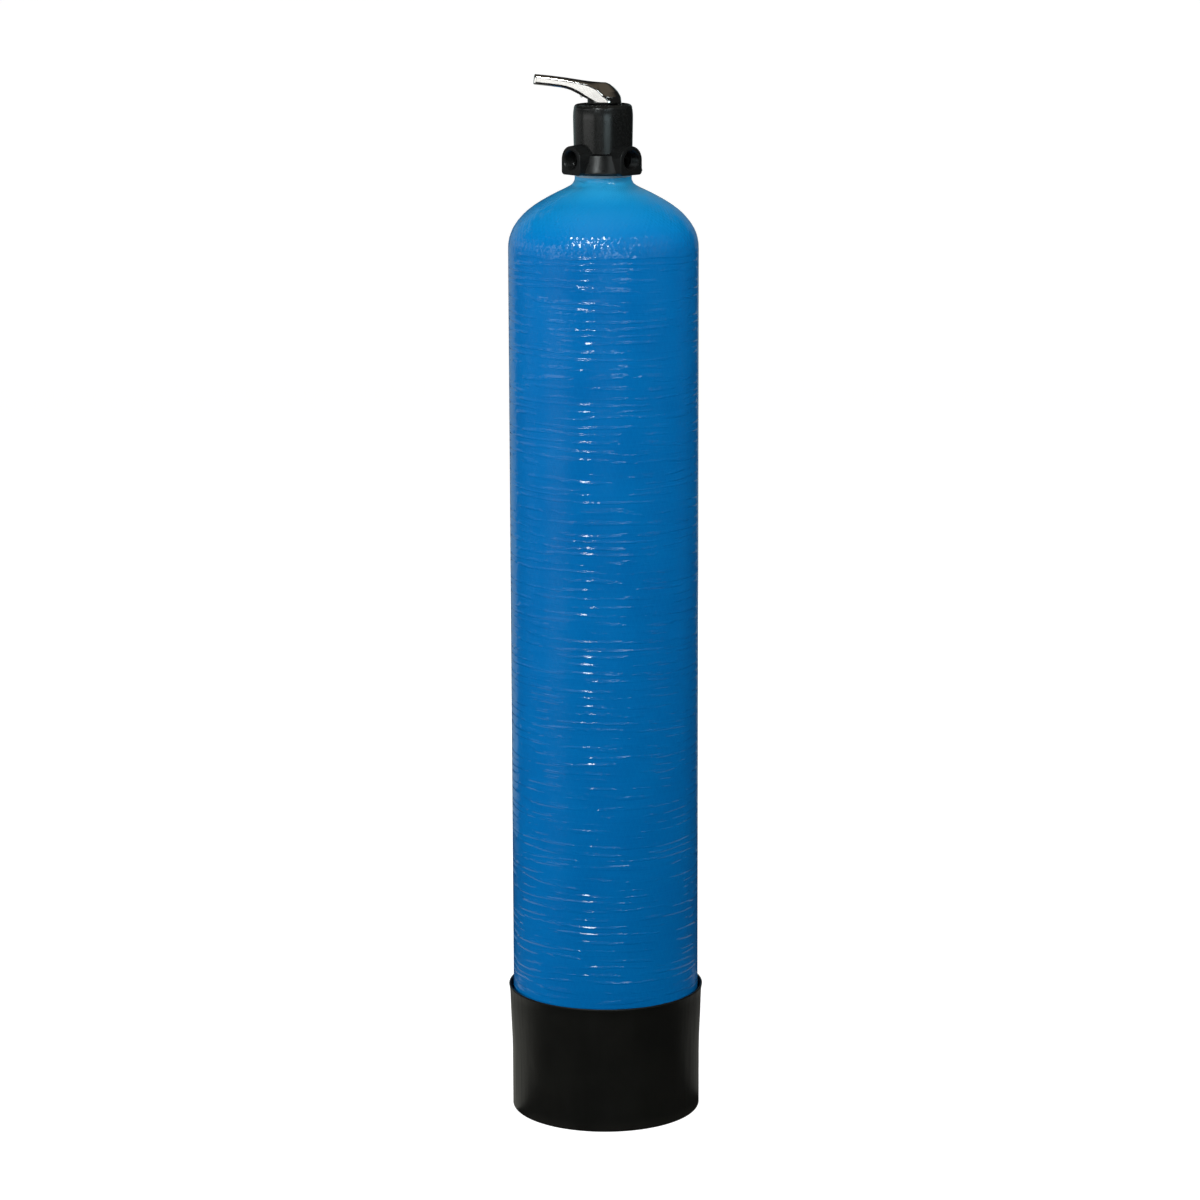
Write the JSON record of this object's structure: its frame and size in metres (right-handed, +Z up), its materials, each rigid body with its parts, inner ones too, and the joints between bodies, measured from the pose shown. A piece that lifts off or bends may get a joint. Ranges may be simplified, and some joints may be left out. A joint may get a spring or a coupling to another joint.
{
  "type": "whole house water filter",
  "caption": "Tall wound fibreglass filter vessel in a black boot, with a manual disc valve, side ports and a chrome lever on top.",
  "frame": {"origin": "centre of the boot's foot, on the floor", "axes": "+Z up the vessel's axis; at rest the lever points to -X; the inlet and drain ports face -Y, to the left and right"},
  "size_m": [0.2782, 0.2782, 1.4826],
  "materials": {
    "boot_plastic": "satin moulded plastic, black",
    "blue_fibreglass": "wound glass fibre under clear resin, blue",
    "liner_plastic": "moulded polyethylene, natural white",
    "insert_plastic": "moulded plastic, pale grey",
    "pipe_plastic": "plastic pipe, white",
    "basket_plastic": "moulded plastic, dark grey",
    "gravel": "washed round gravel",
    "granular_medium": "black granules",
    "valve_plastic": "semi-gloss moulded plastic, black",
    "cap_plastic": "semi-gloss moulded plastic, black",
    "seal_rubber": "smooth black rubber",
    "disc_ceramic": "lapped white ceramic",
    "stem_plastic": "semi-gloss moulded plastic, black",
    "washer_plastic": "slippery white plastic",
    "lever_chrome": "bright chrome plate on a casting",
    "pin_steel": "stainless steel"
  },
  "bodies": {
    "vessel": {"tank_base": "boot_plastic", "tank_shell": "blue_fibreglass", "tank_liner": "liner_plastic", "neck_insert": "insert_plastic", "riser_tube": "pipe_plastic", "lower_distributor": "basket_plastic", "upper_distributor": "basket_plastic", "gravel_bed": "gravel", "filter_media": "granular_medium", "valve_body": "valve_plastic", "valve_cap": "cap_plastic", "tank_seal_o_ring": "seal_rubber", "riser_o_ring": "seal_rubber", "riser_seal_retainer": "basket_plastic", "disc_gasket": "seal_rubber", "fixed_disc": "disc_ceramic", "cap_o_ring": "seal_rubber"},
    "rotor": {"stem": "stem_plastic", "moving_disc": "disc_ceramic", "stem_o_rings": "seal_rubber", "anti_friction_washer": "washer_plastic", "lever_pin": "pin_steel", "lever_spring": "pin_steel"},
    "handle": {"lever": "lever_chrome"}
  },
  "joints": [
    {"name": "handle_turn", "type": "hinge", "parent": "vessel", "child": "rotor", "pos_m": [0, 0, 1.4411], "axis": [0, 0, 1], "range_deg": [-90, 90]},
    {"name": "lever_tilt", "type": "hinge", "parent": "rotor", "child": "handle", "pos_m": [-0.0082, 0, 1.455], "axis": [0, -1, 0], "range_deg": [0, 8], "stiffness_Nm_per_rad": 1.5, "springref_deg": -17.19, "deforming": ["lever_spring"]}
  ]
}
